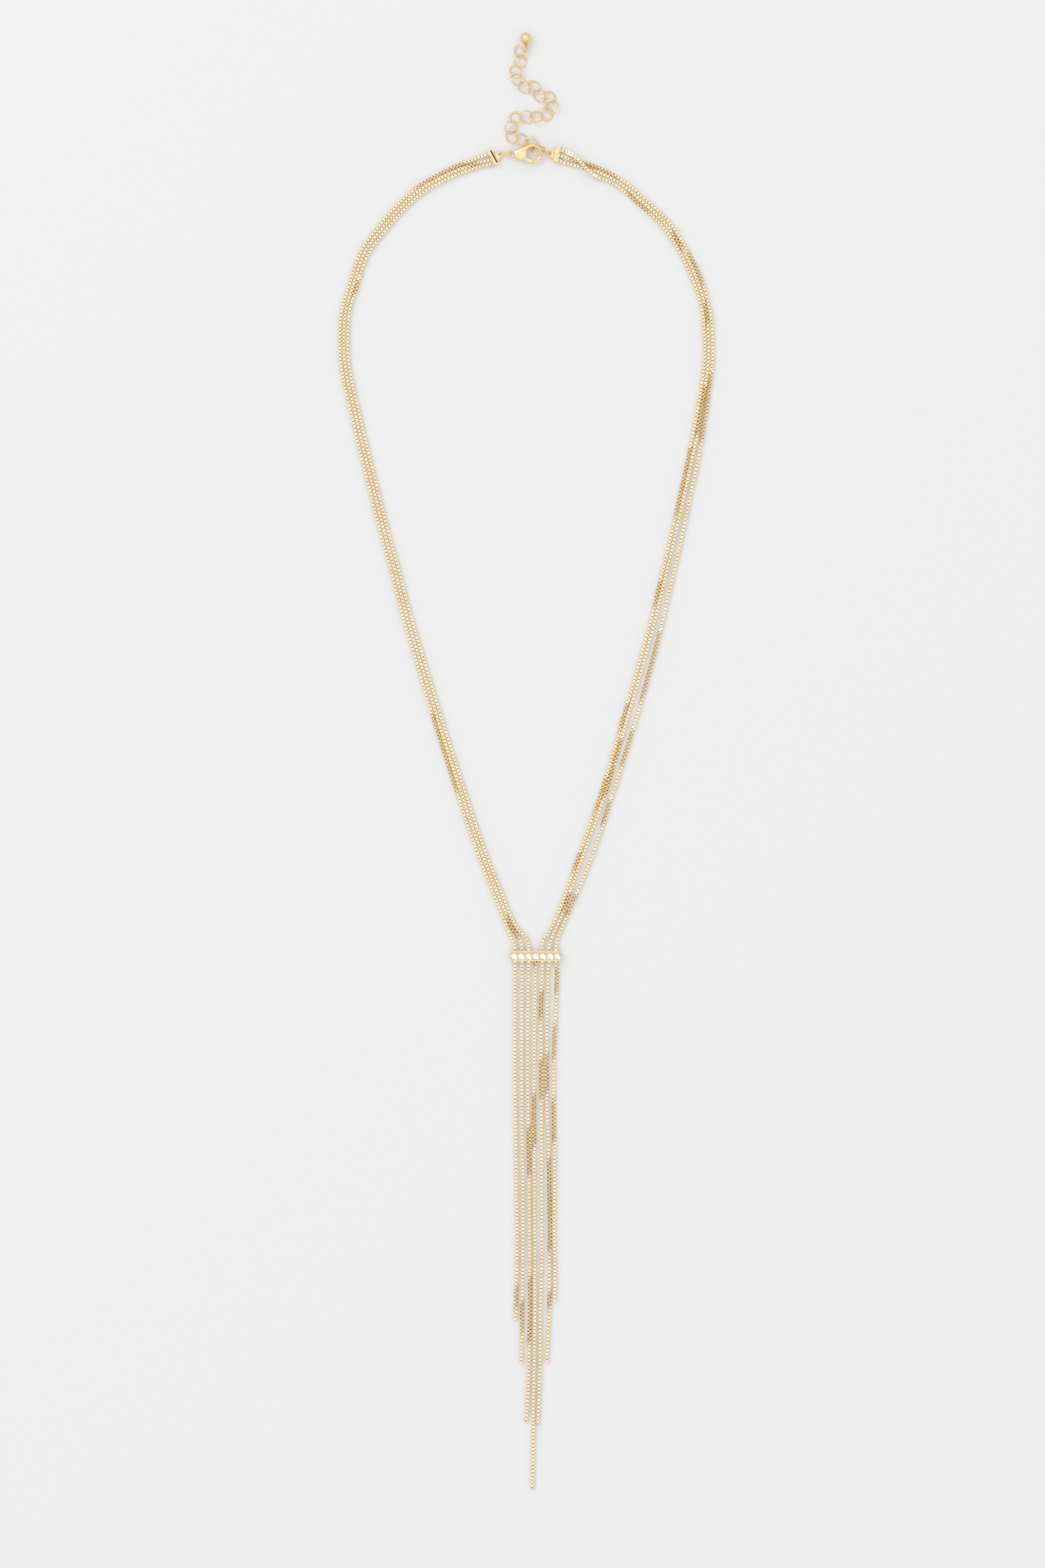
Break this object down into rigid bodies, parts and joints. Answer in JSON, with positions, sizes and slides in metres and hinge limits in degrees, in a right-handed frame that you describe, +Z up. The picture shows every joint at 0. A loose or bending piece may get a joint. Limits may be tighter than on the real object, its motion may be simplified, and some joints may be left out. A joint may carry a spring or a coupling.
{
  "type": "tassel necklace",
  "caption": "Necklace laid flat, with box chains on both sides, a bar of round clear stones, a long chain fringe, a lobster clasp and a ring extender that ends in a ball.",
  "frame": {"origin": "middle of the stone bar's underside, on the surface that the necklace lies on", "axes": "+X to the right, +Y from the fringe up to the clasp, +Z up from the surface"},
  "size_m": [0.1326, 0.5135, 0.0039],
  "materials": {
    "gold": "polished pale gold plating",
    "crystal": "clear faceted stone with a bright foil back"
  },
  "bodies": {
    "necklace": {"stone_bar": "gold", "stone_1": "crystal", "stone_2": "crystal", "stone_3": "crystal", "stone_4": "crystal", "stone_5": "crystal", "stone_6": "crystal", "stone_7": "crystal", "left_strand_1": "gold", "left_strand_2": "gold", "left_strand_3": "gold", "right_strand_1": "gold", "right_strand_2": "gold", "right_strand_3": "gold", "tassel_strand_1": "gold", "tassel_strand_2": "gold", "tassel_strand_3": "gold", "tassel_strand_4": "gold", "tassel_strand_5": "gold", "tassel_strand_6": "gold", "tassel_strand_7": "gold", "left_end_cap": "gold", "right_end_cap": "gold", "left_link": "gold", "clasp_body": "gold", "cap_ring": "gold", "extender_ring_1": "gold", "extender_ring_2": "gold", "extender_ring_3": "gold", "extender_ring_4": "gold", "extender_ring_5": "gold", "extender_ring_6": "gold", "extender_ring_7": "gold", "extender_ring_8": "gold", "extender_ring_9": "gold", "extender_ring_10": "gold", "extender_ring_11": "gold", "extender_ring_12": "gold", "extender_ring_13": "gold", "extender_ring_14": "gold", "extender_ring_15": "gold", "extender_ring_16": "gold", "extender_ring_17": "gold", "extender_ring_18": "gold", "ball_ring": "gold", "end_ball": "gold"},
    "lever": {"clasp_lever": "gold"}
  },
  "joints": [
    {"name": "lever_hinge", "type": "hinge", "parent": "necklace", "child": "lever", "pos_m": [-0.00545, 0.2823, 0.00185], "axis": [0, 0, 1], "range_deg": [0, 18], "stiffness_Nm_per_rad": 0.0002, "springref_deg": -28.65}
  ]
}
